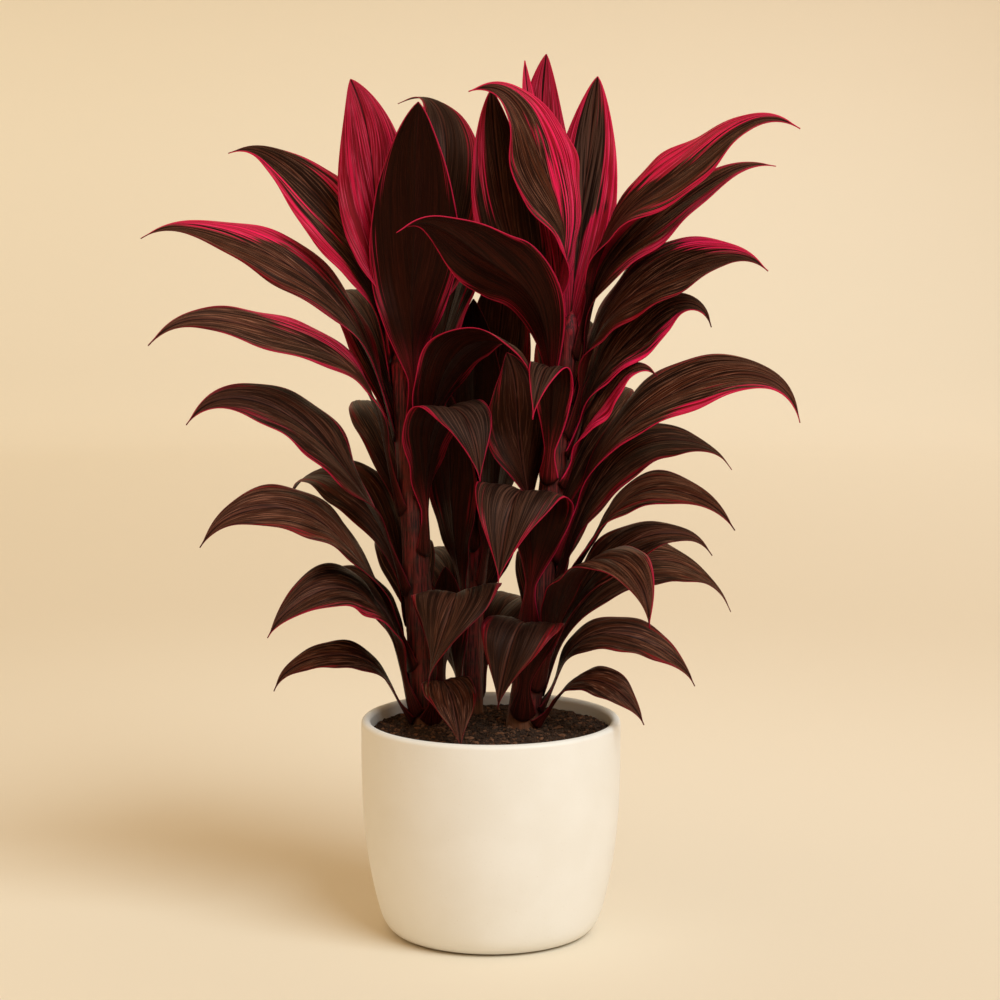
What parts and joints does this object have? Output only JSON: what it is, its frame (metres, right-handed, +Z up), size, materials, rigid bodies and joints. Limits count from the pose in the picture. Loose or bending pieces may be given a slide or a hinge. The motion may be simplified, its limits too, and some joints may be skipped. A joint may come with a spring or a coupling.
{
  "type": "potted ti plant",
  "caption": "Ti plant with dark maroon and pink strap leaves on leafy canes, in a plain round-bottomed cream ceramic pot of potting mix.",
  "frame": {"origin": "centre of the pot's flat underside, which stands on the floor", "axes": "+Z up along the pot's axis, -Y towards the side that the picture shows, +X to its right"},
  "size_m": [0.7048, 0.4653, 0.9448],
  "materials": {
    "pot": "matte cream glaze",
    "soil": "damp potting mix with bark crumbs",
    "cane": "dull, with ringed leaf scars",
    "leaf_dark": "satin, near-black maroon with a pink margin",
    "leaf_pink": "satin, streaked crimson and pink"
  },
  "bodies": {
    "root": {"pot": "pot", "soil": "soil", "cane_left": "cane", "cane_right": "cane", "cane_back": "cane", "leaf_left_01": "leaf_dark", "leaf_left_02": "leaf_dark", "leaf_left_03": "leaf_dark", "leaf_left_04": "leaf_dark", "leaf_left_05": "leaf_dark", "leaf_left_06": "leaf_dark", "leaf_left_07": "leaf_dark", "leaf_left_08": "leaf_dark", "leaf_left_09": "leaf_dark", "leaf_left_10": "leaf_dark", "leaf_left_11": "leaf_dark", "leaf_left_12": "leaf_dark", "leaf_left_13": "leaf_dark", "leaf_left_14": "leaf_dark", "leaf_left_15": "leaf_dark", "leaf_left_16": "leaf_pink", "leaf_left_17": "leaf_dark", "leaf_left_18": "leaf_dark", "leaf_left_19": "leaf_pink", "leaf_left_20": "leaf_pink", "leaf_right_01": "leaf_dark", "leaf_right_02": "leaf_dark", "leaf_right_03": "leaf_dark", "leaf_right_04": "leaf_dark", "leaf_right_05": "leaf_dark", "leaf_right_06": "leaf_dark", "leaf_right_07": "leaf_dark", "leaf_right_08": "leaf_dark", "leaf_right_09": "leaf_dark", "leaf_right_10": "leaf_dark", "leaf_right_11": "leaf_dark", "leaf_right_12": "leaf_dark", "leaf_right_13": "leaf_dark", "leaf_right_14": "leaf_dark", "leaf_right_15": "leaf_dark", "leaf_right_16": "leaf_dark", "leaf_right_17": "leaf_dark", "leaf_right_18": "leaf_pink", "leaf_right_19": "leaf_dark", "leaf_right_20": "leaf_dark", "leaf_right_21": "leaf_pink", "leaf_right_22": "leaf_pink", "leaf_right_23": "leaf_pink", "leaf_right_24": "leaf_dark", "leaf_right_25": "leaf_pink", "leaf_right_26": "leaf_pink", "leaf_right_27": "leaf_pink", "leaf_back_01": "leaf_dark", "leaf_back_02": "leaf_dark", "leaf_back_03": "leaf_dark", "leaf_back_04": "leaf_dark", "leaf_back_05": "leaf_dark", "leaf_back_06": "leaf_dark", "leaf_back_07": "leaf_dark", "leaf_back_08": "leaf_dark"}
  },
  "joints": []
}
